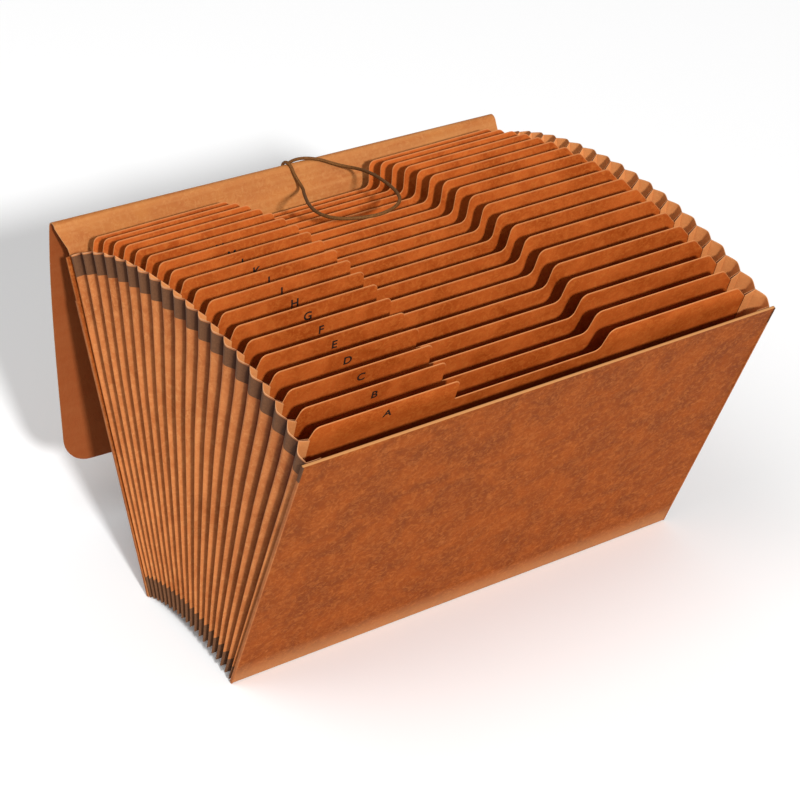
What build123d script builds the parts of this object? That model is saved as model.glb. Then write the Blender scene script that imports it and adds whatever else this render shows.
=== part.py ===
# Accordion file folder, legal size, standing open as a fan: two stiff covers, nineteen indexed
# dividers, one folded gusset for each pocket, a flap hinged on the back cover and an elastic loop.
# Frame: +X to the right, -Y to the front, +Z up. The origin is on the table, below the middle.
# Every panel lies in a plane through one line along X, the fan's centre, below the table.

import math
import os

from build123d import *

# Covers
cover_width = 381.0
cover_height = 256.0
cover_thickness = 2.0

# Fan
divider_count = 19
fan_bottom_radius = 151.5
fan_half_angle = 23.5

# Dividers
divider_thickness = 0.6
divider_low_height = 248.0
divider_tab_rise = 18.5
left_chamfer_width = 7.5
left_chamfer_drop = 21.0
right_chamfer_width = 14.0
right_chamfer_drop = 16.5
tab_end_share = 0.332
step_start_share = 0.64
step_run = 4.5
tab_corner_radius = 4.0
chamfer_corner_radius = 5.0
step_corner_radius = 6.0

# Gussets
gusset_thickness = 0.4
gusset_foot_depth = 10.0
gusset_top_depth = 3.5
gusset_overlap = 3.0
gusset_clearance = 0.15

# Flap
flap_side_inset = 1.0
flap_thickness = 1.0
flap_glue_margin = 30.0
flap_riser_height = 9.0
flap_bend_radius = 4.5
flap_bend_straight = 8.0
flap_hang_lean = 3.0
flap_panel_length = 188.0
flap_corner_radius = 20.0
flap_seam = 0.2

# Elastic loop: its route is (x, height above the cover's foot, distance in front of the back cover)
cord_diameter = 2.5
knot_diameter = 4.0
knot_gap = 0.3
cord_arc_share = 0.45
cord_route = [
    (0.0, 271.8, -10.2),
    (0.0, 274.8, -12.9),
    (0.3, 279.2, -9.6),
    (0.8, 279.9, -4.2),
    (1.3, 276.6, 0.2),
    (1.8, 270.8, 0.8),
    (3.0, 264.0, 3.4),
    (1.5, 259.0, 11.0),
    (-6.5, 257.6, 26.0),
    (-17.0, 257.3, 47.0),
    (-28.0, 255.2, 70.0),
    (-36.0, 251.6, 92.0),
    (-37.0, 247.4, 109.0),
    (-30.0, 243.8, 121.0),
    (-18.0, 241.9, 128.0),
    (-5.0, 241.0, 131.0),
    (8.0, 242.2, 127.5),
    (18.5, 244.4, 120.0),
    (25.0, 247.6, 109.0),
    (30.5, 251.6, 93.0),
    (36.0, 255.2, 73.0),
    (41.5, 258.2, 53.0),
    (45.5, 261.0, 34.0),
    (46.5, 263.5, 17.0),
    (43.0, 266.0, 6.0),
    (35.5, 270.4, 0.7),
    (25.5, 276.0, 0.5),
    (14.5, 279.8, -3.8),
    (6.0, 279.2, -9.6),
    (4.0, 274.8, -12.9),
    (4.0, 271.8, -10.2),
]

# Worked out from the sizes above
divider_pitch = 2 * fan_half_angle / (divider_count + 1)
centre_z = (
    -fan_bottom_radius * math.cos(math.radians(fan_half_angle))
    + cover_thickness / 2 * math.sin(math.radians(fan_half_angle))
)
cover_top_radius = fan_bottom_radius + cover_height
divider_half_width = cover_width / 2 - gusset_foot_depth
divider_bottom_radius = fan_bottom_radius + gusset_foot_depth
divider_low_radius = fan_bottom_radius + divider_low_height
divider_top_radius = divider_low_radius + divider_tab_rise
flap_width = cover_width - 2 * flap_side_inset


def divider_angle(number):
    """Angle of a divider from the vertical, counted from the front; positive leans to the front."""
    return fan_half_angle - divider_pitch * number


def fan_plane(angle):
    """Plane of a panel: local X along the folder, local Y away from the fan's centre."""
    lean = math.radians(angle)
    return Plane(
        origin=(0, 0, centre_z),
        x_dir=(1, 0, 0),
        z_dir=(0, -math.cos(lean), -math.sin(lean)),
    )


def fan_point(x, radius, angle, forward=0.0):
    """Point at a radius on a panel's plane, moved forward off the plane by a distance."""
    lean = math.radians(angle)
    return Vector(
        x,
        -radius * math.sin(lean) - forward * math.cos(lean),
        centre_z + radius * math.cos(lean) - forward * math.sin(lean),
    )


def save(name, shape):
    shape.label = name
    export_step(shape, os.path.join("parts", name + ".step"))


def corners_near(face, points):
    """The corners of a flat face that lie at the given points."""
    return [min(face.vertices(), key=lambda v: (Vector(v) - Vector(*p)).length) for p in points]


def cover(angle):
    """Stiff cover board, a plain rectangle that stands on its lower edge."""
    outline = Polyline(
        (-cover_width / 2, fan_bottom_radius),
        (cover_width / 2, fan_bottom_radius),
        (cover_width / 2, cover_top_radius),
        (-cover_width / 2, cover_top_radius),
        close=True,
    )
    board = extrude(make_face(outline), cover_thickness / 2, both=True)
    return fan_plane(angle) * board


def divider_outline():
    """Divider: an index tab at the left, a low middle, an S-shaped step up to the right, and a
    chamfer at each end."""
    tab_end = -cover_width / 2 + tab_end_share * cover_width
    step_start = -cover_width / 2 + step_start_share * cover_width
    left_foot = (-divider_half_width, divider_top_radius - left_chamfer_drop)
    left_top = (-divider_half_width + left_chamfer_width, divider_top_radius)
    right_foot = (divider_half_width, divider_top_radius - right_chamfer_drop)
    right_top = (divider_half_width - right_chamfer_width, divider_top_radius)
    tab_corner = (tab_end, divider_top_radius)
    step_foot = (step_start, divider_low_radius)
    step_top = (step_start + step_run, divider_top_radius)
    outline = Polyline(
        (-divider_half_width, divider_bottom_radius),
        (divider_half_width, divider_bottom_radius),
        right_foot,
        right_top,
        step_top,
        step_foot,
        (tab_end, divider_low_radius),
        tab_corner,
        left_top,
        left_foot,
        close=True,
    )
    face = make_face(outline)
    face = fillet(corners_near(face, [tab_corner]), tab_corner_radius)
    face = fillet(corners_near(face, [left_top, right_top]), chamfer_corner_radius)
    return fillet(corners_near(face, [step_foot, step_top]), step_corner_radius)


def solid_between(outer, inner):
    """Closed solid between two grids of points with the same rows and columns, in flat triangles."""
    rows = len(outer)
    columns = len(outer[0])
    faces = []

    def quad(a, b, c, d):
        faces.append(Face(Wire.make_polygon([a, b, c], close=True)))
        faces.append(Face(Wire.make_polygon([a, c, d], close=True)))

    for i in range(rows - 1):
        for j in range(columns - 1):
            quad(outer[i][j], outer[i + 1][j], outer[i + 1][j + 1], outer[i][j + 1])
            quad(inner[i][j], inner[i][j + 1], inner[i + 1][j + 1], inner[i + 1][j])
    for i in range(rows - 1):
        quad(outer[i][0], inner[i][0], inner[i + 1][0], outer[i + 1][0])
        quad(outer[i][-1], outer[i + 1][-1], inner[i + 1][-1], inner[i][-1])
    for j in range(columns - 1):
        quad(outer[0][j], outer[0][j + 1], inner[0][j + 1], inner[0][j])
        quad(outer[-1][j], inner[-1][j], inner[-1][j + 1], outer[-1][j + 1])
    return Solid(Shell(faces))


def gusset_rows(columns):
    """Rows of a gusset from the left top round the foot to the right top.

    Each column is one fold line: half width at the top, half width at the foot, radius of the
    foot, angle and forward offset.
    """
    left_top = [fan_point(-top, cover_top_radius, a, f) for top, foot, r, a, f in columns]
    left_foot = [fan_point(-foot, r, a, f) for top, foot, r, a, f in columns]
    right_foot = [fan_point(foot, r, a, f) for top, foot, r, a, f in columns]
    right_top = [fan_point(top, cover_top_radius, a, f) for top, foot, r, a, f in columns]
    return [left_top, left_foot, right_foot, right_top]


def fold_inset(radius, gap_angle, depth):
    """How far inside a fold's outer edge its inner edge lies, where the pleat is that deep."""
    half_gap = radius * math.radians(gap_angle) / 2
    return gusset_thickness * math.hypot(depth, half_gap) / half_gap


def gusset(front_angle, rear_angle, front_thickness, rear_thickness):
    """Gusset of one pocket: paper folded outwards between two panels, round both sides and the foot.

    The leaves keep their width, so the pleat is shallow at the wide top and deep at the foot.
    """
    front_seat = front_thickness / 2 + gusset_clearance
    rear_seat = rear_thickness / 2 + gusset_clearance
    fold_x = cover_width / 2
    foot = fan_bottom_radius
    top_x = fold_x - gusset_top_depth
    foot_x = divider_half_width - gusset_overlap
    leaf_foot = divider_bottom_radius + gusset_overlap
    gap_angle = abs(front_angle - rear_angle)
    top_inset = fold_inset(cover_top_radius, gap_angle, gusset_top_depth)
    foot_inset = fold_inset(foot, gap_angle, gusset_foot_depth)
    inside_x = top_x - top_inset
    middle = (front_angle + rear_angle) / 2
    outer = [
        (top_x, foot_x, leaf_foot, front_angle, -front_seat),
        (fold_x, fold_x, foot, middle, 0.0),
        (top_x, foot_x, leaf_foot, rear_angle, rear_seat),
    ]
    inner = [
        (inside_x, foot_x, leaf_foot, front_angle, -front_seat - gusset_thickness),
        (fold_x - top_inset, fold_x - foot_inset, foot + foot_inset, middle, 0.0),
        (inside_x, foot_x, leaf_foot, rear_angle, rear_seat + gusset_thickness),
    ]
    return solid_between(gusset_rows(outer), gusset_rows(inner))


# Flap: the riser is glued behind the back cover, bends over the top and hangs down behind it
rear_lean = math.radians(fan_half_angle)
riser_offset = -cover_thickness / 2 - flap_thickness / 2
riser_end_radius = cover_top_radius + flap_riser_height
riser_end = fan_point(0, riser_end_radius, -fan_half_angle, riser_offset)
riser_up = Vector(0, math.sin(rear_lean), math.cos(rear_lean))
riser_back = Vector(0, math.cos(rear_lean), -math.sin(rear_lean))
bend_start = riser_end + riser_up * flap_bend_straight
bend_centre = bend_start + riser_back * flap_bend_radius
hang = math.radians(flap_hang_lean)
hang_down = Vector(0, -math.sin(hang), -math.cos(hang))
hang_back = Vector(0, math.cos(hang), -math.sin(hang))
bend_end = bend_centre + hang_back * flap_bend_radius
panel_start = bend_end + hang_down * flap_bend_straight


def flap_riser():
    """Strip of the flap that is glued to the back of the cover and stands up above it."""
    foot = cover_top_radius - flap_glue_margin
    sheet = Plane(
        origin=fan_point(0, 0, -fan_half_angle, riser_offset),
        x_dir=(1, 0, 0),
        z_dir=(0, -math.cos(rear_lean), math.sin(rear_lean)),
    )
    outline = Polyline(
        (-flap_width / 2, foot),
        (flap_width / 2, foot),
        (flap_width / 2, riser_end_radius),
        (-flap_width / 2, riser_end_radius),
        close=True,
    )
    return sheet * extrude(make_face(outline), flap_thickness / 2, both=True)


def flap_bend():
    """Soft bend of the flap over the top: straight, round and straight again, as one sheet."""
    bend_middle_way = (bend_start - bend_centre).normalized() + (bend_end - bend_centre).normalized()
    bend_top = bend_centre + bend_middle_way.normalized() * flap_bend_radius
    start = riser_end + riser_up * flap_seam
    stop = panel_start - hang_down * flap_seam
    path = (
        Line(start, bend_start)
        + ThreePointArc(bend_start, bend_top, bend_end)
        + Line(bend_end, stop)
    )
    section_plane = Plane(
        origin=start,
        x_dir=(1, 0, 0),
        z_dir=riser_up,
    )
    section = section_plane * Rectangle(flap_width, flap_thickness)
    return sweep(section, path=path)


def flap_panel():
    """Hanging panel of the flap, a sheet with two round lower corners."""
    sheet = Plane(
        origin=panel_start,
        x_dir=(1, 0, 0),
        z_dir=hang_back,
    )
    left_foot = (-flap_width / 2, flap_panel_length)
    right_foot = (flap_width / 2, flap_panel_length)
    outline = Polyline(
        (-flap_width / 2, 0),
        (flap_width / 2, 0),
        right_foot,
        left_foot,
        close=True,
    )
    face = make_face(outline)
    face = fillet(corners_near(face, [left_foot, right_foot]), flap_corner_radius)
    return sheet * extrude(face, flap_thickness / 2, both=True)


os.makedirs("parts", exist_ok=True)

save("front_cover", cover(fan_half_angle))
save("back_cover", cover(-fan_half_angle))

divider_sheet = extrude(divider_outline(), divider_thickness / 2, both=True)
for number in range(1, divider_count + 1):
    save("divider_%02d" % number, fan_plane(divider_angle(number)) * divider_sheet)

panel_angles = [fan_half_angle]
panel_angles += [divider_angle(number) for number in range(1, divider_count + 1)]
panel_angles += [-fan_half_angle]
panel_thicknesses = [cover_thickness] + [divider_thickness] * divider_count + [cover_thickness]
for pocket in range(1, divider_count + 2):
    folded = gusset(
        panel_angles[pocket - 1],
        panel_angles[pocket],
        panel_thicknesses[pocket - 1],
        panel_thicknesses[pocket],
    )
    save("gusset_%02d" % pocket, folded)

save("flap_riser", flap_riser())
save("flap_bend", flap_bend())
save("flap_panel", flap_panel())


def loop_point(x, height, forward):
    """Point of the elastic loop, measured on the back cover."""
    return fan_point(x, fan_bottom_radius + height, -fan_half_angle, forward)


def elastic_loop():
    """Elastic cord: a round tube along straight runs joined by the largest tangent arcs."""
    points = [loop_point(*place) for place in cord_route]
    radii = []
    for before, point, after in zip(points, points[1:], points[2:]):
        turn = math.radians((point - before).get_angle(after - point))
        run = min((point - before).length, (after - point).length)
        radii.append(cord_arc_share * run / math.tan(turn / 2))
    path = FilletPolyline(*points, radius=radii)
    section = Plane(origin=path @ 0, z_dir=path % 0) * Circle(cord_diameter / 2)
    tube = sweep(section, path=path)
    print("elastic loop: radii", [round(radius, 1) for radius in radii])
    print(
        "elastic loop: length %.1f, volume %.1f, section times length %.1f"
        % (path.length, tube.volume, math.pi * cord_diameter**2 / 4 * path.length)
    )
    return tube


def elastic_knot():
    """Knot that holds both ends of the elastic loop inside the flap's bend."""
    ends = (loop_point(*cord_route[0]) + loop_point(*cord_route[-1])) / 2
    middle = Vector(ends.X, bend_centre.Y, bend_centre.Z)
    outward = (ends - middle).normalized()
    seat = flap_bend_radius - flap_thickness / 2 - knot_gap - knot_diameter / 2
    return Pos(*(middle + outward * seat)) * Sphere(knot_diameter / 2)


save("elastic_loop", elastic_loop())
save("elastic_knot", elastic_knot())
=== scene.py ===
# Accordion file folder, open as a fan: two stiff covers, nineteen indexed dividers, a pleated gusset
# for each pocket, a flap over the back cover and an elastic loop. Metres, in the part's own frame.

import bpy
import numpy as np
from mathutils import Matrix, Vector


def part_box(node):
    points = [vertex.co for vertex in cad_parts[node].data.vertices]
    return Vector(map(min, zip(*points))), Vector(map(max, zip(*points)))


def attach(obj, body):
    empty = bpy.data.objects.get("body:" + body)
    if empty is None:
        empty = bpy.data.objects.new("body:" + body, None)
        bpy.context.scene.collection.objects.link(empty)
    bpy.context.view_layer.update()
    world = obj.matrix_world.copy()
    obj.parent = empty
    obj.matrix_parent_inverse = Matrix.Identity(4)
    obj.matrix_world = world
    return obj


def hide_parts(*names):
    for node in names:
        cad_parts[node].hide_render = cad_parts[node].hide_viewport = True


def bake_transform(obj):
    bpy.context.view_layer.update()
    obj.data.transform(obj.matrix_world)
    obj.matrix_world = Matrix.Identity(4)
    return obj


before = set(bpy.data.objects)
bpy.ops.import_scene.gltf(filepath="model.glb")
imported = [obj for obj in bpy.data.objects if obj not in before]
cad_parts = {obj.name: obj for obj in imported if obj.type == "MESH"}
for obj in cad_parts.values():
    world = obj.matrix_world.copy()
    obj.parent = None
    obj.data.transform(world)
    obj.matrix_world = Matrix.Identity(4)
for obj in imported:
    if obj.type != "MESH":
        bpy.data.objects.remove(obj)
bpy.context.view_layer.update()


# Cover boards
# Two stiff millboards faced with redrope, a tough mottled red-brown paper, and cut flush, so that a
# paler edge shows all round. The outer pleats of the gussets are glued along their sides and foot.
mm = 0.001
cover_width = (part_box("front_cover")[1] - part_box("front_cover")[0]).x
cover_height = 256 * mm
cover_thickness = 2 * mm
cover_edge_round = 0.45 * mm
cover_wave = 0.35 * mm
cover_wave_runs = (71 * mm, 63 * mm)
front_cut_shown = 1
back_cut_shown = 0.2
# Height and strength of the painted highlight along the foot of the covers.
rubbed_height = 22 * mm
rubbed_gain = 1.25
fan_half_angle = 23.5
fan_bottom_radius = 151.5 * mm
cover_top_radius = fan_bottom_radius + cover_height
fan_centre_z = (
    -fan_bottom_radius * np.cos(np.radians(fan_half_angle))
    + cover_thickness / 2 * np.sin(np.radians(fan_half_angle))
)


def fan_point(x, radius, angle, forward=0.0):
    """Point of the fan: x along the folder, at a radius from the fan's centre line, on a panel that
    leans to the front by an angle in degrees, moved forward off that panel's middle plane."""
    lean = np.radians(angle)
    y = -radius * np.sin(lean) - forward * np.cos(lean)
    z = fan_centre_z + radius * np.cos(lean) - forward * np.sin(lean)
    return np.stack(np.broadcast_arrays(x, y, z), axis=-1)


def closed_sheet(face, back):
    """Closed skin of a sheet from two grids of points, rows by columns: both faces and a rim of quads
    round the four edges. It is turned inside out if its signed volume comes out negative."""
    rows, columns = face.shape[:2]
    count = rows * columns
    index = np.arange(count).reshape(rows, columns)
    quads = np.stack([index[:-1, :-1], index[:-1, 1:], index[1:, 1:], index[1:, :-1]], axis=-1)
    quads = quads.reshape(-1, 4)
    edge = np.concatenate([index[0, :-1], index[:-1, -1], index[-1, :0:-1], index[:0:-1, 0]])
    after = np.roll(edge, -1)
    rim = np.stack([after, edge, edge + count, after + count], axis=-1)
    faces = np.concatenate([quads, quads[:, ::-1] + count, rim])
    points = np.concatenate([face.reshape(-1, 3), back.reshape(-1, 3)])
    a, b, c, d = (points[faces[:, corner]] for corner in range(4))
    volume = np.sum(a * np.cross(b, c)) + np.sum(a * np.cross(c, d))
    if volume < 0:
        faces = faces[:, ::-1]
    return points, faces


def make_piece(name, points, faces, material, sharp_angle=40, **marks):
    """Mesh object at the origin from arrays of points and faces. Each mark is a number for every
    point, kept as an attribute that the material reads."""
    mesh = bpy.data.meshes.new(name)
    mesh.from_pydata(points.tolist(), [], faces.tolist())
    for mark, values in marks.items():
        values = np.ascontiguousarray(np.broadcast_to(values, len(points)), dtype=np.float32)
        mesh.attributes.new(mark, "FLOAT", "POINT").data.foreach_set("value", values)
    mesh.shade_smooth()
    mesh.set_sharp_from_angle(angle=np.radians(sharp_angle))
    mesh.materials.append(material)
    piece = bpy.data.objects.new(name, mesh)
    bpy.context.scene.collection.objects.link(piece)
    return piece


def colour(code):
    """Linear RGBA of an sRGB hex code."""
    srgb = np.array([int(code[place:place + 2], 16) for place in (1, 3, 5)]) / 255
    linear = np.where(srgb <= 0.04045, srgb / 12.92, ((srgb + 0.055) / 1.055) ** 2.4)
    return (*linear.tolist(), 1.0)


def add_node(tree, kind, inputs, **settings):
    """Adds a node with its settings, and sets each input to a value or links it to a socket."""
    node = tree.nodes.new(kind)
    for setting, value in settings.items():
        setattr(node, setting, value)
    for place, value in inputs.items():
        if isinstance(value, bpy.types.NodeSocket):
            tree.links.new(value, node.inputs[place])
        else:
            node.inputs[place].default_value = value
    return node


def redrope(name, deep, body, bright, cut, roughness, cloud_size=30 * mm, streaks=0.0):
    """Redrope: rope and rag fibre paper, dyed in the pulp and calendered. It gives soft clouds of
    darker and lighter red-brown, short fibres on top, a dull sheen and a pale fuzzy cut edge."""
    fleck_size = 4 * mm
    fibre_size = 1.2 * mm
    streak_size = 5 * mm
    fibre_depth = 0.12 * mm
    grain_depth = 0.5 * mm
    material = bpy.data.materials.new(name)
    material.use_nodes = True
    tree = material.node_tree
    tree.nodes.clear()
    place = add_node(tree, "ShaderNodeTexCoord", {}).outputs["Object"]
    clouds = add_node(
        tree, "ShaderNodeTexNoise",
        {
            "Vector": place, "Scale": 1 / cloud_size, "Detail": 5.0, "Roughness": 0.62,
            "Distortion": 0.5,
        },
    ).outputs["Fac"]
    flecks = add_node(
        tree, "ShaderNodeTexNoise",
        {
            "Vector": place, "Scale": 1 / fleck_size, "Detail": 5.0, "Roughness": 0.65,
            "Distortion": 1.2,
        },
    ).outputs["Fac"]
    drawn = add_node(
        tree, "ShaderNodeMapping", {"Vector": place, "Scale": (0.35, 1.0, 1.0)}
    ).outputs["Vector"]
    fibres = add_node(
        tree, "ShaderNodeTexNoise",
        {
            "Vector": drawn, "Scale": 1 / fibre_size, "Detail": 2.0, "Roughness": 0.6,
            "Distortion": 2.0,
        },
    ).outputs["Fac"]
    cloud_share = add_node(
        tree, "ShaderNodeMapRange", {"Value": clouds, "From Min": 0.36, "From Max": 0.62}
    ).outputs["Result"]
    fleck_share = add_node(
        tree, "ShaderNodeMapRange",
        {"Value": flecks, "From Min": 0.46, "From Max": 0.72, "To Max": 0.6},
    ).outputs["Result"]
    fibre_share = add_node(
        tree, "ShaderNodeMapRange",
        {"Value": fibres, "From Min": 0.56, "From Max": 0.75, "To Max": 0.30},
    ).outputs["Result"]
    rolled = add_node(
        tree, "ShaderNodeMapping", {"Vector": place, "Scale": (0.03, 1.0, 1.0)}
    ).outputs["Vector"]
    lines = add_node(
        tree, "ShaderNodeTexNoise", {"Vector": rolled, "Scale": 1 / streak_size, "Detail": 2.0}
    ).outputs["Fac"]
    streak_share = add_node(
        tree, "ShaderNodeMapRange",
        {"Value": lines, "From Min": 0.45, "From Max": 0.7, "To Max": streaks},
    ).outputs["Result"]
    cut_share = add_node(tree, "ShaderNodeAttribute", {}, attribute_name="cut_edge").outputs["Fac"]
    paint = colour(deep)
    for share, code in (
        (cloud_share, body),
        (fleck_share, bright),
        (streak_share, bright),
        (fibre_share, deep),
        (cut_share, cut),
    ):
        layer = add_node(
            tree, "ShaderNodeMix", {"Factor": share, "A": paint, "B": colour(code)}, data_type="RGBA"
        )
        paint = layer.outputs["Result"]
    dullness = add_node(
        tree, "ShaderNodeMapRange",
        {
            "Value": clouds, "From Min": 0.3, "From Max": 0.7,
            "To Min": roughness - 0.08, "To Max": roughness + 0.06,
        },
    ).outputs["Result"]
    grain = add_node(
        tree, "ShaderNodeBump", {"Height": flecks, "Strength": 0.5, "Distance": grain_depth}
    ).outputs["Normal"]
    relief = add_node(
        tree, "ShaderNodeBump",
        {"Height": fibres, "Strength": 0.35, "Distance": fibre_depth, "Normal": grain},
    ).outputs["Normal"]
    paper = add_node(
        tree, "ShaderNodeBsdfPrincipled",
        {"Base Color": paint, "Roughness": dullness, "Normal": relief, "Specular IOR Level": 0.1},
    )
    add_node(tree, "ShaderNodeOutputMaterial", {"Surface": paper.outputs["BSDF"]})
    return material


def add_layer(material, mark, tone, strength=1.0, blend="MIX"):
    """Puts a tone over a material's colour, by as much as the piece's mark says at each point."""
    tree = material.node_tree
    paper = next(node for node in tree.nodes if node.bl_idname == "ShaderNodeBsdfPrincipled")
    shown = paper.inputs["Base Color"].links[0].from_socket
    share = add_node(tree, "ShaderNodeAttribute", {}, attribute_name=mark).outputs["Fac"]
    share = add_node(
        tree, "ShaderNodeMath", {0: share, 1: strength}, operation="MULTIPLY"
    ).outputs[0]
    layer = add_node(
        tree, "ShaderNodeMix", {"Factor": share, "A": shown, "B": tone},
        data_type="RGBA", blend_type=blend,
    )
    tree.links.new(layer.outputs["Result"], paper.inputs["Base Color"])


cover_stock = redrope(
    "redrope_cover_board", deep="#703208", body="#863F10", bright="#AC642C", cut="#AC7848",
    roughness=0.74, cloud_size=26 * mm,
)
# The foot of the boards is painted paler, a painted highlight where the board curves under.
add_layer(cover_stock, "rubbed", colour("#B27C50"), 0.6)
# Columns and rows of the boards' grid in mm, close together at the edges.
across = np.concatenate([[0, 0.7], np.linspace(6, 375, 42), [380.3, 381]]) / 381 - 0.5
upward = np.concatenate([[0, 0.7, 3], np.linspace(6, 250, 45), [255.3, 256]]) / 256
cover_x, cover_rise = np.meshgrid(across * cover_width, upward * cover_height)
cover_cut = np.zeros(cover_x.shape)
cover_cut[[0, -1], :] = 1
cover_cut[:, [0, -1]] = 1
# Share of the painted foot highlight: full at the foot, gone at its height.
cover_rubbed = np.clip(rubbed_gain * (1 - cover_rise / rubbed_height), 0, 1)
wave_across, wave_up = cover_wave_runs
board_wave = cover_wave * np.sin(cover_x / wave_across) * np.cos(cover_rise / wave_up) * (1 - cover_cut)
for cover_name, cover_angle, cut_shown in (
    ("front_cover", fan_half_angle, front_cut_shown),
    ("back_cover", -fan_half_angle, back_cut_shown),
):
    outer, inner = (
        fan_point(
            cover_x, fan_bottom_radius + cover_rise, cover_angle,
            board_wave + side * cover_thickness / 2,
        )
        for side in (1, -1)
    )
    board = make_piece(
        cover_name + "_board", *closed_sheet(outer, inner), cover_stock,
        cut_edge=np.tile(cut_shown * cover_cut.ravel(), 2),
        rubbed=np.tile(cover_rubbed.ravel(), 2),
    )
    rounding = board.modifiers.new("worn_edge", "BEVEL")
    rounding.width = cover_edge_round
    rounding.segments = 2
    rounding.limit_method = "ANGLE"
    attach(board, cover_name)
    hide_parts(cover_name)


# Dividers
# Nineteen sheets of heavy redrope card, die cut with an index tab at the left, a low middle, an
# S-shaped step up to the right and a chamfer at each end. Their sides and foot are glued into the
# gussets.
divider_count = 19
divider_thickness = 0.6 * mm
divider_inset = 10 * mm
divider_half_width = cover_width / 2 - divider_inset
divider_foot = fan_bottom_radius + divider_inset
divider_low = fan_bottom_radius + 248 * mm
divider_top = divider_low + 18.5 * mm
left_chamfer = (7.5 * mm, 21 * mm)
right_chamfer = (14 * mm, 16.5 * mm)
tab_end = (0.332 - 0.5) * cover_width
step_start = (0.64 - 0.5) * cover_width
step_run = 4.5 * mm
divider_corner_radii = np.array([5, 4, 1, 6, 6, 5]) * mm
divider_run = 9 * mm
divider_cut_width = 0.9 * mm
divider_rows = np.array([0, 0.45, 1.1, 3, 8, 18, 40, 75, 120, 175]) * mm
divider_pitch = 2 * fan_half_angle / (divider_count + 1)


def rounded_line(corners, radii, run, arc_steps=7):
    """Points along straight runs whose inner corners are rounded, each by an arc of its own radius,
    with more points put in so that no run is longer than the one given."""
    points = [np.array(corners[0])]
    for before, corner, after, radius in zip(corners, corners[1:], corners[2:], radii):
        back = np.subtract(before, corner) / np.linalg.norm(np.subtract(before, corner))
        ahead = np.subtract(after, corner) / np.linalg.norm(np.subtract(after, corner))
        half = np.arccos(back @ ahead) / 2
        centre = corner + (back + ahead) / np.linalg.norm(back + ahead) * radius / np.sin(half)
        spoke = corner + back * radius / np.tan(half) - centre
        way_round = np.sign(back[1] * ahead[0] - back[0] * ahead[1])
        turn = way_round * np.linspace(0, np.pi - 2 * half, arc_steps)
        points += list(centre + np.stack([
            np.cos(turn) * spoke[0] - np.sin(turn) * spoke[1],
            np.sin(turn) * spoke[0] + np.cos(turn) * spoke[1],
        ], axis=-1))
    points = np.array(points + [np.array(corners[-1])])
    along = np.concatenate([[0], np.cumsum(np.linalg.norm(np.diff(points, axis=0), axis=1))])
    filled = np.union1d(along, np.linspace(0, along[-1], int(along[-1] / run)))
    return np.stack([np.interp(filled, along, points[:, axis]) for axis in (0, 1)], axis=-1)


divider_stock = redrope(
    "redrope_divider_card", deep="#94400F", body="#B0551E", bright="#BE6A2C", cut="#C27C4A",
    roughness=0.7,
)
divider_edge = rounded_line(
    [
        (-divider_half_width, divider_top - left_chamfer[1]),
        (-divider_half_width + left_chamfer[0], divider_top),
        (tab_end, divider_top),
        (tab_end, divider_low),
        (step_start, divider_low),
        (step_start + step_run, divider_top),
        (divider_half_width - right_chamfer[0], divider_top),
        (divider_half_width, divider_top - right_chamfer[1]),
    ],
    divider_corner_radii,
    divider_run,
)
foot_share = np.linspace(-1, 1, len(divider_edge))
foot_line = np.stack(
    [foot_share * divider_half_width, np.full(len(foot_share), divider_foot)], axis=-1
)
drop = np.linalg.norm(foot_line - divider_edge, axis=1)
down_share = np.concatenate([divider_rows[:, None] / drop, np.ones((1, len(drop)))])
divider_x = divider_edge[:, 0] + (foot_line[:, 0] - divider_edge[:, 0]) * down_share
divider_radius = divider_edge[:, 1] + (foot_line[:, 1] - divider_edge[:, 1]) * down_share
divider_cut = np.clip(1 - down_share * drop / divider_cut_width, 0, 1)
divider_names = ["divider_%02d" % (number + 1) for number in range(divider_count)]
divider_angles = fan_half_angle - divider_pitch * (np.arange(divider_count) + 1)
for divider_name, divider_angle in zip(divider_names, divider_angles):
    faces_of_card = [
        fan_point(divider_x, divider_radius, divider_angle, side * divider_thickness / 2)
        for side in (1, -1)
    ]
    card = make_piece(
        divider_name + "_card", *closed_sheet(*faces_of_card), divider_stock,
        cut_edge=np.tile(divider_cut.ravel(), 2),
    )
    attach(card, divider_name)
    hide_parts(divider_name)


# Index letters
# One plain capital printed in black on each tab, front to back in the order of the alphabet.
# The ink is a film on the card's front face, close to the middle of what shows of the tab.
letter_height = 6.5 * mm
letter_x = -118 * mm
letter_below_edge = 9 * mm
letter_type_size = 1.4 * letter_height
letter_weight = 0.035 * letter_height
ink_thickness = 0.04 * mm
ink_patch_size = 0.8 * mm


def printing_ink():
    """Printing ink: black pigment in a varnish that dries dull, a little uneven where the card is."""
    material = bpy.data.materials.new("black_printing_ink")
    material.use_nodes = True
    tree = material.node_tree
    tree.nodes.clear()
    place = add_node(tree, "ShaderNodeTexCoord", {}).outputs["Object"]
    patches = add_node(
        tree, "ShaderNodeTexNoise", {"Vector": place, "Scale": 1 / ink_patch_size, "Detail": 2.0}
    ).outputs["Fac"]
    black = add_node(
        tree, "ShaderNodeMix", {"Factor": patches, "A": colour("#17100C"), "B": colour("#2E1E14")},
        data_type="RGBA",
    ).outputs["Result"]
    ink = add_node(tree, "ShaderNodeBsdfPrincipled", {"Base Color": black, "Roughness": 0.5})
    add_node(tree, "ShaderNodeOutputMaterial", {"Surface": ink.outputs["BSDF"]})
    return material


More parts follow.
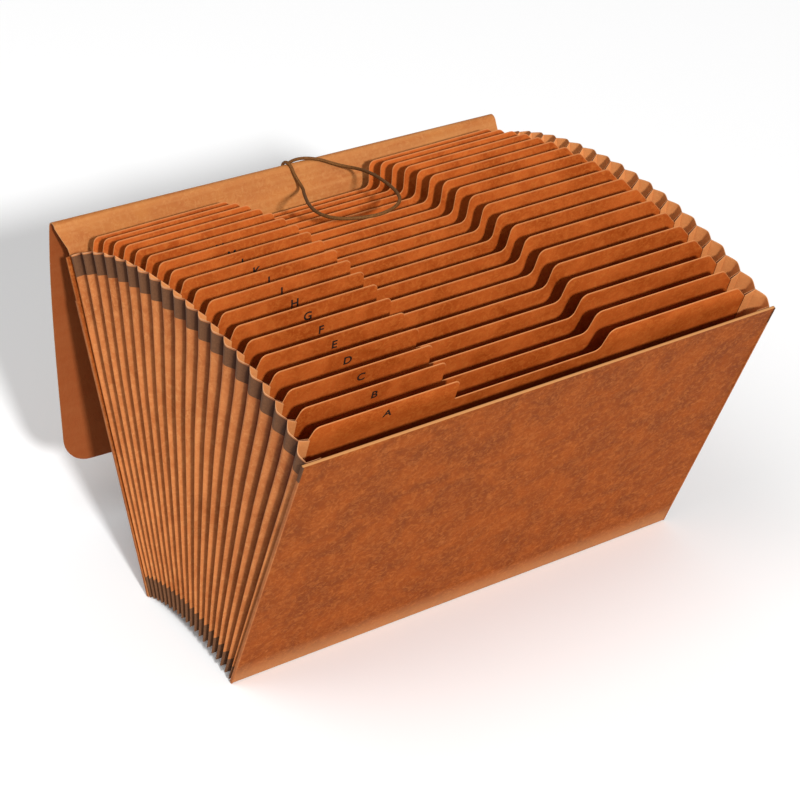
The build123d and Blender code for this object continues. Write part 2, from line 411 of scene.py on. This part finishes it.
ink = printing_ink()
for number, (divider_name, divider_angle) in enumerate(zip(divider_names, divider_angles)):
    writing = bpy.data.curves.new("letter", "FONT")
    writing.body = chr(ord("A") + number)
    writing.align_x = "CENTER"
    writing.size = letter_type_size
    writing.extrude = ink_thickness / 2
    writing.offset = letter_weight
    typed = bpy.data.objects.new("letter", writing)
    mesh = bpy.data.meshes.new_from_object(typed)
    bpy.data.objects.remove(typed)
    flat = np.zeros(len(mesh.vertices) * 3)
    mesh.vertices.foreach_get("co", flat)
    flat = flat.reshape(-1, 3)
    baseline = divider_top - letter_below_edge - letter_height / 2
    placed = fan_point(
        letter_x + flat[:, 0], baseline + flat[:, 1], divider_angle,
        divider_thickness / 2 + ink_thickness / 2 + flat[:, 2],
    )
    mesh.vertices.foreach_set("co", placed.astype(np.float32).ravel())
    mesh.update()
    mesh.materials.clear()
    mesh.materials.append(ink)
    letter = bpy.data.objects.new(divider_name + "_letter", mesh)
    bpy.context.scene.collection.objects.link(letter)
    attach(letter, divider_name)


# Gussets
# One pleat of lighter redrope paper for each pocket, from the left top round the foot to the right
# top. A dark cloth tape is glued over the pleats just under their top and round each foot corner.
gusset_thickness = 0.4 * mm
gusset_clearance = 0.15 * mm
gusset_top_seat = 0.02 * mm
gusset_closing_height = 80 * mm
gusset_fold_softness = 0.32
gusset_depth_at = np.array([0, 90, 215, 256]) * mm
gusset_depth = np.array([3.5, 8, 9.5, 3.5]) * mm
gusset_strip_x = np.array([176, 173.5]) * mm
gusset_strip_foot = 13 * mm
gusset_draw_in = 5 * mm
gusset_rise = 6 * mm
gusset_swell_power = 6
gusset_rim_width = 1.2 * mm
# Power of the painted fold shade, from none at the outer fold to full at the inner folds.
gusset_valley_power = 1.3
tape_top = (1.2 * mm, 16 * mm)
tape_foot = 15.5 * mm
tape_step = 0.15 * mm
tape_thread_size = 1.5 * mm


def tape_cloth(tree):
    """Colour of the bookbinding tape: a dark brown cotton with paler threads."""
    place = add_node(tree, "ShaderNodeTexCoord", {}).outputs["Object"]
    threads = add_node(
        tree, "ShaderNodeTexNoise",
        {"Vector": place, "Scale": 1 / tape_thread_size, "Detail": 3.0, "Roughness": 0.7},
    ).outputs["Fac"]
    return add_node(
        tree, "ShaderNodeMix", {"Factor": threads, "A": colour("#50321E"), "B": colour("#765036")},
        data_type="RGBA",
    ).outputs["Result"]


# Gusset paper is a thinner, lighter redrope. Its inner faces are painted paler, a painted highlight for
# the light inside the pockets, and its outer faces carry painted shade that darkens towards the inner
# folds.
gusset_stock = redrope(
    "redrope_gusset_paper", deep="#A05A2C", body="#B66E3C", bright="#C68650", cut="#C49068",
    roughness=0.72,
)
# Painted highlight: the inner faces of the pleats are mixed towards a paler tone.
add_layer(gusset_stock, "inside", colour("#DC9458"), 0.55)
add_layer(gusset_stock, "tape", tape_cloth(gusset_stock.node_tree))
# Painted shade: the outer faces are multiplied darker towards the inner folds, where shade falls.
add_layer(gusset_stock, "valley", colour("#6A3318"), 0.9, "MULTIPLY")
# Rows of the pleat: distance below the top down the left side, then along the foot, then up again.
side_rows = np.concatenate([
    np.array([0, 0.5, *(row / mm for row in (tape_top[0], tape_top[0] + tape_step))]),
    np.array([tape_top[1], tape_top[1] + tape_step]) / mm,
    np.linspace(30, 225, 14),
    [240.35, 240.5, 248, 256],
]) * mm
foot_rows = np.concatenate(
    [[6, 15.5, 15.65], np.linspace(30, 351, 16), [365.35, 365.5, 375]]
) * mm
foot_row_share = foot_rows / cover_width
under_tape_top = side_rows > tape_top[0] + tape_step / 2
over_tape_end = side_rows < tape_top[1] + tape_step / 2
side_tape = (under_tape_top & over_tape_end) | (side_rows > cover_height - tape_foot - tape_step / 2)
foot_tape = (foot_rows < tape_foot + tape_step / 2) | (
    foot_rows > cover_width - tape_foot - tape_step / 2
)
gusset_tape = np.concatenate([side_tape, foot_tape, side_tape[::-1]])[:, None]
rim_share = np.clip(1 - side_rows / gusset_rim_width, 0, 1)
gusset_cut = np.concatenate([rim_share, np.zeros(len(foot_rows)), rim_share[::-1]])[:, None]


def round_pocket(side_x, side_radius, foot_x, foot_radius):
    """A line down the left side of a pocket, along its foot and up the right side, as (x, radius)."""
    return np.concatenate([
        np.stack([-side_x, side_radius], axis=-1),
        np.stack([foot_x * (2 * foot_row_share - 1), np.full(len(foot_rows), foot_radius)], axis=-1),
        np.stack([side_x, side_radius], axis=-1)[::-1],
    ])


half_width = cover_width / 2
depth_down = np.interp(side_rows, gusset_depth_at, gusset_depth)
fold_line = round_pocket(
    np.full(len(side_rows), half_width), cover_top_radius - side_rows, half_width, fan_bottom_radius
)
inner_line = round_pocket(
    half_width - depth_down,
    cover_top_radius - side_rows * (1 - gusset_depth[-1] / cover_height),
    half_width - gusset_depth[-1],
    fan_bottom_radius + gusset_depth[-1],
)
upper_share = 1 - side_rows / cover_height
room_inside = half_width - depth_down - divider_half_width - gusset_clearance
draw_in = np.minimum(gusset_draw_in, room_inside) * upper_share
side_swell = np.stack([draw_in, gusset_rise * upper_share], axis=-1)
gusset_swell = np.concatenate([side_swell, np.zeros((len(foot_rows), 2)), side_swell[::-1] * [-1, 1]])
closing_share = np.clip(1 - side_rows / gusset_closing_height, 0, 1)
gusset_closing = np.concatenate([closing_share, np.zeros(len(foot_rows)), closing_share[::-1]])
strip_line = round_pocket(
    np.interp(side_rows, gusset_depth_at[[0, -1]], gusset_strip_x),
    cover_top_radius - side_rows * (1 - gusset_strip_foot / cover_height),
    gusset_strip_x[-1],
    fan_bottom_radius + gusset_strip_foot,
)


def pleat_surface(angles, seats, top_seats, across_share, depth):
    """Outer face of one pleat. Along the rows it follows the pocket's edge. Across, it is a strip
    glued on the front panel, then goes out to the fold and back by its depth, and ends as a strip on
    the rear panel. Away from the covers it is drawn in and up, by a share that falls to the foot and
    is 1 less the sixth power of the lean's share of the covers' lean. Near the top, beyond the
    dividers' edges, it meets the next pleat."""
    angle = angles[0] + (angles[1] - angles[0]) * across_share
    seat = seats + (top_seats - seats) * gusset_closing[:, None]
    forward = -seat[:, :1] * (1 - across_share) + seat[:, 1:] * across_share
    glued = np.broadcast_to(seats, (len(forward), 2))
    forward = np.concatenate([-glued[:, :1], forward, glued[:, 1:]], axis=1)
    pleat = inner_line[:, None] + (fold_line - inner_line)[:, None] * depth[None, :, None]
    swell = 1 - (angle / fan_half_angle) ** gusset_swell_power
    pleat += gusset_swell[:, None] * swell[None, :, None]
    line = np.concatenate([strip_line[:, None], pleat, strip_line[:, None]], axis=1)
    return fan_point(line[..., 0], line[..., 1], np.pad(angle, 1, mode="edge")[None], forward)


def moved_in(points, distance):
    """The grid moved along its own normals, which are the cross product of its two directions."""
    normal = np.cross(np.gradient(points, axis=0), np.gradient(points, axis=1))
    normal /= np.linalg.norm(normal, axis=-1, keepdims=True)
    return points + normal * distance


across_share = np.array(
    [0, 0.06, 0.18, 0.3, 0.4, 0.45, 0.48, 0.5, 0.52, 0.55, 0.6, 0.7, 0.82, 0.94, 1]
)
fold_tip = np.hypot(1, gusset_fold_softness)
fold_height = np.hypot(2 * across_share - 1, gusset_fold_softness)
pleat_depth = (fold_tip - fold_height) / (fold_tip - gusset_fold_softness)
# Painted shade share across a pleat: none at the outer fold, full at the inner folds and on the glued
# strips.
valley = np.pad((1 - pleat_depth) ** gusset_valley_power, 1, constant_values=1.0)
panel_angles = [fan_half_angle, *divider_angles, -fan_half_angle]
panel_halves = [cover_thickness / 2, *[divider_thickness / 2] * divider_count, cover_thickness / 2]
cover_seat = cover_thickness / 2 + gusset_clearance
top_seats = np.array([cover_seat, *[gusset_top_seat] * divider_count, cover_seat])
for pocket in range(divider_count + 1):
    ends = slice(pocket, pocket + 2)
    seats = np.array(panel_halves[ends]) + gusset_clearance
    outside = pleat_surface(panel_angles[ends], seats, top_seats[ends], across_share, pleat_depth)
    inside = moved_in(outside, gusset_thickness)
    grid = np.ones(outside.shape[:2])
    on_outside = np.concatenate([grid.ravel(), 0 * grid.ravel()])
    pleat = make_piece(
        "gusset_%02d_pleat" % (pocket + 1), *closed_sheet(outside, inside), gusset_stock,
        sharp_angle=50,
        inside=1 - on_outside,
        tape=np.tile((gusset_tape * grid).ravel(), 2) * on_outside,
        valley=np.tile((valley * grid).ravel(), 2) * on_outside,
        cut_edge=np.tile((gusset_cut * grid).ravel(), 2),
    )
    start, end = (fan_point(0, cover_top_radius, angle).tolist() for angle in panel_angles[ends])
    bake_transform(pleat)
    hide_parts("gusset_%02d" % (pocket + 1))


# Edge bindings
# A strip of the gusset paper folded round each side edge of the two covers and glued to their faces,
# with the end of the cloth tape round the top. The back cover's strips stop under the flap.
binding_thickness = 0.3 * mm
binding_inside = -0.9
binding_face = 0.8 * mm
# Share of the gusset's painted fold shade on the binding strips, which darkens them evenly.
binding_valley = 0.35
binding_gap = 0.03 * mm
binding_ends = {"front_cover": (0.4, 255.6), "back_cover": (0.4, 224)}
binding_outline = np.array([
    (half_width + binding_gap, binding_inside * cover_thickness / 2),
    (half_width + binding_gap, cover_thickness / 2 + binding_gap),
    (half_width - binding_face, cover_thickness / 2 + binding_gap),
])
binding_outer = binding_outline + np.array([(1, 0), (1, 1), (0, 1)]) * binding_thickness
for cover_name, cover_angle, facing in (
    ("front_cover", fan_half_angle, 1),
    ("back_cover", -fan_half_angle, -1),
):
    foot_end, top_end = np.array(binding_ends[cover_name]) * mm
    tape_start = cover_height - tape_top[1]
    rows = np.union1d(np.linspace(foot_end, top_end, 40), [tape_start, tape_start + tape_step])
    rows = rows[(rows >= foot_end) & (rows <= top_end)]
    taped = (rows[:, None] > tape_start + tape_step / 2) * np.ones(3)
    for side in (-1, 1):
        faces_of_strip = [
            fan_point(
                side * line[:, 0][None], (fan_bottom_radius + rows)[:, None], cover_angle,
                facing * line[:, 1][None],
            )
            for line in (binding_outer, binding_outline)
        ]
        strip = make_piece(
            cover_name + ("_left" if side < 0 else "_right") + "_binding",
            *closed_sheet(*faces_of_strip), gusset_stock,
            tape=np.tile(taped.ravel(), 2), inside=0.0, valley=binding_valley, cut_edge=0.0,
        )
        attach(strip, cover_name)


# Flap
# One sheet of redrope board glued behind the back cover, rolled over the top without a crease, and
# hanging behind with a slight belly. Its two lower corners are rounded.
flap_half_width = cover_width / 2 - 1 * mm
flap_thickness = 1 * mm
flap_glue_margin = 30 * mm
flap_riser = 17 * mm
flap_roll_radius = 4.5 * mm
flap_hang_length = 196 * mm
flap_corner_radius = 20 * mm
flap_hang_angle = 159.5
flap_belly = 14.0
flap_belly_fade = 3.0
flap_skew = 0.022
flap_shift = -4 * mm
flap_glue_inset = 3 * mm
flap_riser_rows, flap_roll_rows, flap_hang_rows, flap_corner_rows = 12, 16, 40, 16
flap_long_wave = 1.6 * mm
flap_short_wave = 0.8 * mm
flap_middle = -cover_thickness / 2 - flap_thickness / 2


def on_back_cover(x, height, forward):
    """Point measured on the back cover: x, height above its foot, distance in front of its middle."""
    return fan_point(x, fan_bottom_radius + height, -fan_half_angle, forward)


def flap_line():
    """The flap's section as arrays of height and forward place. The sheet's direction turns from
    straight up, round the roll, to hanging down, and then eases out and in to make the belly; the
    places are the running sum of the steps in that direction."""
    belly_mean = flap_belly * (1 - np.exp(-flap_belly_fade)) / flap_belly_fade
    roll_angle = flap_hang_angle - flap_belly + belly_mean
    riser_step = (flap_glue_margin + flap_riser) / flap_riser_rows
    riser_steps = np.concatenate([[0], np.full(flap_riser_rows, riser_step)])
    roll_step = flap_roll_radius * np.radians(roll_angle) / flap_roll_rows
    roll_steps = np.full(flap_roll_rows, roll_step)
    corner_share = flap_corner_radius / flap_hang_length
    corner_turn = np.linspace(0, np.pi / 2, flap_corner_rows)[1:]
    corner_rows = 1 - corner_share * (1 - np.sin(corner_turn))
    hang_rows = np.concatenate([np.linspace(0, 1 - corner_share, flap_hang_rows), corner_rows])
    hang_share = (hang_rows[1:] + hang_rows[:-1]) / 2
    hang_steps = np.diff(hang_rows) * flap_hang_length
    steps = np.concatenate([riser_steps, roll_steps, hang_steps])
    hang_turn = flap_hang_angle - flap_belly * np.exp(-flap_belly_fade * hang_share) + belly_mean
    roll_turn = (np.arange(flap_roll_rows) + 0.5) / flap_roll_rows * roll_angle
    turn = np.radians(np.concatenate([np.zeros(flap_riser_rows + 1), roll_turn, hang_turn]))
    height = cover_height - flap_glue_margin + np.cumsum(steps * np.cos(turn))
    forward = flap_middle - np.cumsum(steps * np.sin(turn))
    return height, forward, np.cumsum(steps)


# The flap's board is smoother and paler than the covers' and streaked along its length. Its inner face
# is painted darker, painted shade for the shade the folder casts on it.
flap_stock = redrope(
    "redrope_flap_board", deep="#9E5C2E", body="#A86834", bright="#B67C48", cut="#B08050",
    roughness=0.6, streaks=0.5,
)
# Painted shade: the flap's inner face is mixed towards a dark red-brown.
add_layer(flap_stock, "inside", colour("#783818"), 0.85)
flap_height, flap_forward, flap_along = flap_line()
to_foot = flap_along[-1] - flap_along
corner_reach = np.clip(flap_corner_radius - to_foot, 0, None)
corner_width = np.sqrt(flap_corner_radius**2 - corner_reach**2)
flap_reach = flap_half_width - flap_corner_radius + corner_width
flap_x = np.concatenate([[-1, -0.998], np.linspace(-0.97, 0.97, 48), [0.998, 1]])
hang_start = flap_along[flap_riser_rows + 1 + flap_roll_rows]
hang_wave = np.clip((flap_along - hang_start) / flap_hang_length, 0, 1)[:, None]
flap_wave = (
    flap_long_wave * hang_wave * np.sin(5.3 * flap_x[None] + 0.6)
    + flap_short_wave * hang_wave * np.sin(11 * flap_x[None])
)
free_share = np.clip((flap_along - flap_glue_margin) / flap_riser, 0, 1)[:, None]
flat_x = (flap_reach[:, None] - flap_glue_inset * (1 - free_share)) * flap_x[None]
flap_middle_grid = on_back_cover(
    flat_x + free_share * (flap_shift + flap_skew * (flap_height[:, None] - cover_height)),
    flap_height[:, None] - flap_skew * flat_x,
    flap_forward[:, None] - flap_wave,
)
flap_cut = np.zeros(flap_middle_grid.shape[:2])
flap_cut[-1, :] = 1
flap_cut[:, [0, -1]] = 1
flap = make_piece(
    "flap_sheet",
    *closed_sheet(
        moved_in(flap_middle_grid, flap_thickness / 2),
        moved_in(flap_middle_grid, -flap_thickness / 2),
    ),
    flap_stock,
    cut_edge=np.tile(flap_cut.ravel(), 2),
    inside=np.repeat([1.0, 0.0], flap_cut.size),
)
on_back_cover(0, 273 * mm, -1.9 * mm).tolist()
on_back_cover(0, 273 * mm, -9.5 * mm).tolist()
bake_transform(flap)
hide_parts("flap_riser", "flap_bend", "flap_panel")


# Flap lining
# A strip of the flap's paper glued to the foot of the riser, led over the top edge of the back cover
# and glued down its inside, so that the edge of the board doesn't show.
lining_half_width = 171 * mm
lining_thickness = 0.3 * mm
# Its section, from the riser to the lower edge, as height on the back cover and place forward in mm.
lining_line = np.array([
    (266, -0.95), (261, -0.85), (257.6, 0.1), (256.2, 1.0), (253, 1.25), (248, 1.25), (205, 1.25),
]) * mm
lining_x, lining_row = np.meshgrid(
    np.linspace(-1, 1, 40) * lining_half_width, np.arange(len(lining_line))
)
lining_height, lining_forward = lining_line[lining_row, 0], lining_line[lining_row, 1]
lining_faces = [
    on_back_cover(lining_x, lining_height, lining_forward + side * lining_thickness / 2)
    for side in (1, -1)
]
lining = make_piece(
    "flap_lining", *closed_sheet(*lining_faces), flap_stock, sharp_angle=60, cut_edge=0.0, inside=0.0
)
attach(lining, "back_cover")


# Elastic loop
# A round elastic cord of rubber strands in a braided cotton sleeve. Both ends go over the flap's roll,
# in at its back and are tied in a knot inside it; the loop stands loose over the dividers.
cord_diameter = 2.5 * mm
yarn_size = 0.9 * mm
yarn_depth = 0.2 * mm
# Places along the loop on the back cover, in mm: x, height above its foot, place forward.
cord_route = [
    (0.0, 271.8, -10.2),
    (0.0, 274.8, -12.9),
    (0.3, 279.2, -9.6),
    (0.8, 279.9, -4.2),
    (1.3, 276.6, 0.2),
    (1.8, 270.8, 0.8),
    (3.0, 264.0, 3.4),
    (1.5, 259.0, 11.0),
    (-6.5, 257.6, 26.0),
    (-17.0, 257.3, 47.0),
    (-28.0, 255.2, 70.0),
    (-36.0, 251.6, 92.0),
    (-37.0, 247.4, 109.0),
    (-30.0, 243.8, 121.0),
    (-18.0, 241.9, 128.0),
    (-5.0, 241.0, 131.0),
    (8.0, 242.2, 127.5),
    (18.5, 244.4, 120.0),
    (25.0, 247.6, 109.0),
    (30.5, 251.6, 93.0),
    (36.0, 255.2, 73.0),
    (41.5, 258.2, 53.0),
    (45.5, 261.0, 34.0),
    (46.5, 263.5, 17.0),
    (43.0, 266.0, 6.0),
    (35.5, 270.4, 0.7),
    (25.5, 276.0, 0.5),
    (14.5, 279.8, -3.8),
    (6.0, 279.2, -9.6),
    (4.0, 274.8, -12.9),
    (4.0, 271.8, -10.2),
]


def braided_cotton():
    """Braided cotton sleeve: brown yarn wound both ways, which gives fine cells of light and dark; the
    braid is drawn coarser than life so that it shows."""
    material = bpy.data.materials.new("braided_cotton_elastic")
    material.use_nodes = True
    tree = material.node_tree
    tree.nodes.clear()
    place = add_node(tree, "ShaderNodeTexCoord", {}).outputs["Object"]
    yarn = add_node(
        tree, "ShaderNodeTexVoronoi",
        {"Vector": place, "Scale": 1 / yarn_size, "Randomness": 0.6},
    ).outputs["Distance"]
    tone = add_node(
        tree, "ShaderNodeMix", {"Factor": yarn, "A": colour("#7E5022"), "B": colour("#3C220C")},
        data_type="RGBA",
    ).outputs["Result"]
    relief = add_node(
        tree, "ShaderNodeBump", {"Height": yarn, "Strength": 0.6, "Distance": yarn_depth}
    ).outputs["Normal"]
    cotton = add_node(
        tree, "ShaderNodeBsdfPrincipled",
        {"Base Color": tone, "Roughness": 0.8, "Normal": relief, "Specular IOR Level": 0.2},
    )
    add_node(tree, "ShaderNodeOutputMaterial", {"Surface": cotton.outputs["BSDF"]})
    return material


elastic = braided_cotton()
cord_points = on_back_cover(*(np.array(cord_route).T * mm))
cord_curve = bpy.data.curves.new("elastic_cord_loop", "CURVE")
cord_curve.dimensions = "3D"
cord_curve.bevel_depth = cord_diameter / 2
cord_curve.bevel_resolution = 4
cord_curve.use_fill_caps = True
cord_line = cord_curve.splines.new("NURBS")
cord_line.points.add(len(cord_points) - 1)
weighted_points = np.column_stack([cord_points, np.ones(len(cord_points))])
cord_line.points.foreach_set("co", weighted_points.ravel())
cord_line.order_u = 3
cord_line.use_endpoint_u = True
cord_line.resolution_u = 8
cord_curve.materials.append(elastic)
cord = bpy.data.objects.new("elastic_cord_loop", cord_curve)
bpy.context.scene.collection.objects.link(cord)
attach(cord, "back_cover")
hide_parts("elastic_loop")

knot_low, knot_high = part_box("elastic_knot")
knot_middle = np.array((knot_low + knot_high) / 2)
knot_radius = (knot_high - knot_low).x / 2
round_share, rise_share = np.meshgrid(np.linspace(0, 2 * np.pi, 33), np.linspace(0, np.pi, 17))
knot_swell = knot_radius * (0.9 + 0.1 * np.cos(3 * round_share + 4 * rise_share))
knot_surface = knot_middle + np.stack([
    knot_swell * np.sin(rise_share) * np.cos(round_share),
    knot_swell * np.sin(rise_share) * np.sin(round_share),
    knot_swell * np.cos(rise_share),
], axis=-1)
knot_index = np.arange(round_share.size).reshape(round_share.shape)
knot_faces = np.stack(
    [knot_index[:-1, :-1], knot_index[1:, :-1], knot_index[1:, 1:], knot_index[:-1, 1:]], axis=-1
).reshape(-1, 4)
knot = make_piece("elastic_knot_tied", knot_surface.reshape(-1, 3), knot_faces, elastic)
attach(knot, "back_cover")
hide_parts("elastic_knot")


# Floor, light and camera
# A plain white table, a key light from the front, a broad soft light from the upper left.
# The camera is a long lens above the left front corner.
floor_size = 30.0
floor_drop = 0.5 * mm
sky_strength = 0.42
bpy.ops.mesh.primitive_plane_add(size=floor_size, location=(0, 0, -floor_drop))
floor = bpy.context.object
floor.name = "floor"
white = bpy.data.materials.new("white_table")
white.use_nodes = True
white_surface = white.node_tree.nodes["Principled BSDF"]
white_surface.inputs["Base Color"].default_value = colour("#F8F8F8")
white_surface.inputs["Roughness"].default_value = 0.9
floor.data.materials.append(white)


def lamp(name, kind, azimuth, elevation, distance, power, **settings):
    """A light that faces the folder: azimuth to the right of the front and elevation, in degrees."""
    light = bpy.data.lights.new(name, kind)
    light.energy = power
    for setting, value in settings.items():
        setattr(light, setting, value)
    turn, rise = np.radians([azimuth, elevation])
    away = Vector((np.sin(turn) * np.cos(rise), -np.cos(turn) * np.cos(rise), np.sin(rise)))
    placed = bpy.data.objects.new(name, light)
    placed.location = away * distance + Vector((0, 0, 0.1))
    placed.rotation_euler = (-away).to_track_quat("-Z", "Y").to_euler()
    bpy.context.scene.collection.objects.link(placed)


lamp(
    "key_light", "SUN", azimuth=-12, elevation=27, distance=2.5, power=3.5, angle=np.radians(5)
)
lamp("top_light", "AREA", azimuth=-70, elevation=62, distance=2.2, power=16, size=1.2)
world = bpy.data.worlds.new("studio")
world.use_nodes = True
sky = world.node_tree.nodes["Background"]
sky.inputs["Color"].default_value = (1, 1, 1, 1)
sky.inputs["Strength"].default_value = sky_strength
bpy.context.scene.world = world
bpy.context.scene.view_settings.view_transform = "Standard"

camera_target = Vector((-4.3, 11.1, 133.7)) * mm
camera_distance = 1.864
camera_azimuth, camera_elevation, camera_roll = np.radians([-33.30, 31.29, 0.51])
focal_pixels, image_pixels, sensor_width = 2574, 800, 36
away = Vector((
    np.sin(camera_azimuth) * np.cos(camera_elevation),
    -np.cos(camera_azimuth) * np.cos(camera_elevation),
    np.sin(camera_elevation),
))
lens = bpy.data.cameras.new("camera")
lens.sensor_width = sensor_width
lens.lens = focal_pixels / image_pixels * sensor_width
camera = bpy.data.objects.new("camera", lens)
camera.location = camera_target + away * camera_distance
camera_aim = (-away).to_track_quat("-Z", "Y")
camera_turn = Matrix.Rotation(camera_roll, 3, "Z").to_quaternion()
camera.rotation_euler = (camera_aim @ camera_turn).to_euler()
bpy.context.scene.collection.objects.link(camera)
bpy.context.scene.camera = camera
